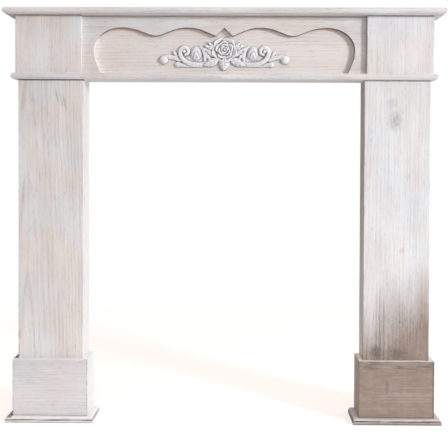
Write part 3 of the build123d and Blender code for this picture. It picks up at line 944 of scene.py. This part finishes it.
def relief_shell(u_line, v_line, height):
    """A closed casting: the relief in front, cut off where it meets the panel, and a flat back."""
    inside = height > 0
    used = inside[:-1, :-1] | inside[1:, :-1] | inside[:-1, 1:] | inside[1:, 1:]
    shell = bmesh.new()
    points = {}

    def corner(row, column):
        if (row, column) not in points:
            points[row, column] = shell.verts.new((u_line[column], v_line[row], height[row, column]))
        return points[row, column]

    for row, column in zip(*np.nonzero(used)):
        low_left, low_right = corner(row, column), corner(row, column + 1)
        top_left, top_right = corner(row + 1, column), corner(row + 1, column + 1)
        shell.faces.new((low_left, low_right, top_right))
        shell.faces.new((low_left, top_right, top_left))
    everything = shell.verts[:] + shell.edges[:] + shell.faces[:]
    bmesh.ops.bisect_plane(shell, geom=everything, plane_co=(0, 0, 0), plane_no=(0, 0, 1), clear_inner=True)
    for face in shell.faces:
        face.smooth = True
    rim = [edge for edge in shell.edges if edge.is_boundary]
    bmesh.ops.triangle_fill(shell, use_beauty=True, edges=rim, normal=(0, 0, -1))
    for edge in rim:
        edge.smooth = False
    bmesh.ops.recalc_face_normals(shell, faces=shell.faces[:])
    return shell


def nearest_line(places, line):
    """Which of the grid's lines is nearest to each place."""
    steps = np.round((np.array(places) - line[0]) / RELIEF_STEP)
    return np.clip(steps, 0, len(line) - 1).astype(int)


def make_ornament():
    """The casting stands on the back panel, where its plain CAD solid is."""
    low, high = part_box("rose_applique")
    rose_middle = Vector(((low.x + high.x) / 2, high.y, low.z + ROSE_HEIGHT * MM))
    u_line, v_line, height, stand = relief_grid()
    shell = relief_shell(u_line, v_line, height)
    rows = nearest_line([vert.co.y for vert in shell.verts], v_line)
    columns = nearest_line([vert.co.x for vert in shell.verts], u_line)
    for vert in shell.verts:
        vert.co = rose_middle + Vector((vert.co.x, -vert.co.z, vert.co.y)) * MM
    mesh = bpy.data.meshes.new("rose_ornament")
    shell.to_mesh(mesh)
    shell.free()
    layer = mesh.attributes.new("stand", "FLOAT", "POINT")
    layer.data.foreach_set("value", stand[rows, columns].astype(np.float32))
    ornament = bpy.data.objects.new("rose_ornament", mesh)
    scene.collection.objects.link(ornament)
    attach(ornament, "root")
    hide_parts("rose_applique")
    mesh.materials.append(ornament_paint())


PAINT_DIM, PAINT_BRIGHT = rgb(0.69, 0.69, 0.71), rgb(0.76, 0.76, 0.78)
# Hollow colour: partly antiquing grey, partly painted shade. Crest colour: painted highlight.
PAINT_HOLLOW_GREY_AND_SHADE, PAINT_HIGHLIGHT = rgb(0.16, 0.152, 0.155), rgb(0.90, 0.905, 0.925)


def ornament_paint():
    """Cool white paint with a painted highlight on the high places, and grey in the hollows, partly
    antiquing and partly painted shade.
    """
    tree = Tree("ornament_paint")
    attribute = tree.nodes.new("ShaderNodeAttribute")
    attribute.attribute_name = "stand"
    stand = attribute.outputs["Fac"]
    speckle = tree.noise(tree.scaled(220, 220, 220), 3)
    uneven = tree.less(speckle, 0.5)
    cloud = tree.noise(tree.scaled(40, 0, 40), 2)
    hollow_grey_and_shade = tree.step(tree.add(stand, tree.times(uneven, 1.4)), -1.5, 0.35, 1.0, 0.0)
    crest_highlight = tree.step(tree.add(stand, tree.times(uneven, 1.2)), 0.3, 1.7)
    colour = tree.mix(tree.step(cloud, 0.35, 0.65), PAINT_DIM, PAINT_BRIGHT)
    colour = tree.mix(tree.times(hollow_grey_and_shade, 0.88), colour, PAINT_HOLLOW_GREY_AND_SHADE)
    colour = tree.mix(tree.times(crest_highlight, 0.8), colour, PAINT_HIGHLIGHT)
    roughness = tree.add(0.62, tree.times(hollow_grey_and_shade, 0.2), tree.times(uneven, 0.1))
    height = tree.add(tree.times(speckle, 0.6), tree.times(cloud, 0.4))
    return tree.finish(colour, roughness, height, 0.0006)


# ---- stage ----

FLOOR_RADIUS = 6.0
FLOOR_SIDES = 96
FLOOR_GREY = rgb(0.55, 0.55, 0.55)
FLOOR_GLOW = rgb(1.0, 0.92, 0.90)
FLOOR_GLOW_STRENGTH = 0.57
FLOOR_FADE_START, FLOOR_FADE_END = 0.7, 2.0


def make_floor():
    """A pale, faintly glowing disc that fades out away from the object."""
    mesh = bpy.data.meshes.new("floor")
    angles = np.linspace(0, 2 * math.pi, FLOOR_SIDES, False)
    ring = [(FLOOR_RADIUS * math.cos(angle), FLOOR_RADIUS * math.sin(angle), 0.0) for angle in angles]
    mesh.from_pydata(ring, [], [list(range(FLOOR_SIDES))])
    floor = bpy.data.objects.new("floor", mesh)
    scene.collection.objects.link(floor)
    tree = Tree("floor_pale")
    axes = tree.axes()
    reach = tree.math("SQRT", tree.add(tree.times(axes["X"], axes["X"]), tree.times(axes["Y"], axes["Y"])))
    tree.put(tree.shader.inputs["Base Color"], FLOOR_GREY)
    tree.put(tree.shader.inputs["Emission Color"], FLOOR_GLOW)
    tree.put(tree.shader.inputs["Emission Strength"], FLOOR_GLOW_STRENGTH)
    tree.put(tree.shader.inputs["Roughness"], 0.9)
    tree.put(tree.shader.inputs["Alpha"], tree.step(reach, FLOOR_FADE_START, FLOOR_FADE_END, 1.0, 0.0))
    mesh.materials.append(tree.material)


WORLD_DARK = 0.04
WORLD_RIGHT = 1.0
WORLD_TOP = 1.15
WORLD_WARM = rgb(1.0, 0.94, 0.88)


def make_world():
    """A white backdrop. As light it is warm, bright above and on the right, and dim elsewhere."""
    world = bpy.data.worlds.new("studio")
    scene.world = world
    world.use_nodes = True
    nodes, links = world.node_tree.nodes, world.node_tree.links
    split = nodes.new("ShaderNodeSeparateXYZ")
    links.new(nodes.new("ShaderNodeTexCoord").outputs["Generated"], split.inputs[0])

    def side(axis, start, end, strength):
        """Light that grows towards one side."""
        ramp = nodes.new("ShaderNodeMapRange")
        ramp.interpolation_type = "SMOOTHSTEP"
        links.new(split.outputs[axis], ramp.inputs["Value"])
        limits = {"From Min": start, "From Max": end, "To Min": WORLD_DARK, "To Max": strength}
        for name, value in limits.items():
            ramp.inputs[name].default_value = value
        return ramp.outputs[0]

    def brighter(first, second):
        node = nodes.new("ShaderNodeMath")
        node.operation = "MAXIMUM"
        links.new(first, node.inputs[0])
        links.new(second, node.inputs[1])
        return node.outputs[0]

    glow = brighter(side("X", 0.1, 0.9, WORLD_RIGHT), side("Z", 0.35, 0.9, WORLD_TOP))
    backdrop = nodes.new("ShaderNodeBackground")
    backdrop.inputs["Color"].default_value = rgb(1, 1, 1)
    room = nodes["Background"]
    room.inputs["Color"].default_value = WORLD_WARM
    links.new(glow, room.inputs["Strength"])
    seen = nodes.new("ShaderNodeMixShader")
    links.new(nodes.new("ShaderNodeLightPath").outputs["Is Camera Ray"], seen.inputs["Fac"])
    links.new(room.outputs[0], seen.inputs[1])
    links.new(backdrop.outputs[0], seen.inputs[2])
    links.new(seen.outputs[0], nodes["World Output"].inputs["Surface"])


COOL_LIGHT = (0.86, 0.925, 1.0)
WARM_LIGHT = (1.0, 0.94, 0.89)


def area_light(name, place, target, size, power, colour, spread=180):
    """A round soft lamp that points at a place. spread, in degrees, is how wide it shines."""
    data = bpy.data.lights.new(name, "AREA")
    data.spread = math.radians(spread)
    data.shape = "DISK"
    data.size = size
    data.energy = power
    data.color = colour
    light = bpy.data.objects.new(name, data)
    scene.collection.objects.link(light)
    light.location = place
    light.rotation_euler = (Vector(target) - Vector(place)).to_track_quat("-Z", "Y").to_euler()


make_camera()
dress_frieze()
dress_side("left")
dress_side("right")
dress_fasteners()
make_ornament()
make_floor()
make_world()
area_light("key", (2.79, -2.17, 1.5), (0, 0, 0.6), 0.65, 80, COOL_LIGHT)
area_light("fill", (-0.2, -3.2, 1.75), (0, 0, 0.7), 2.0, 24, WARM_LIGHT)
area_light("frieze fill", (-0.5, -2.1, 1.35), (-0.15, 0, 1.0), 0.7, 0.18, WARM_LIGHT, 45)
scene.view_settings.view_transform = "Standard"
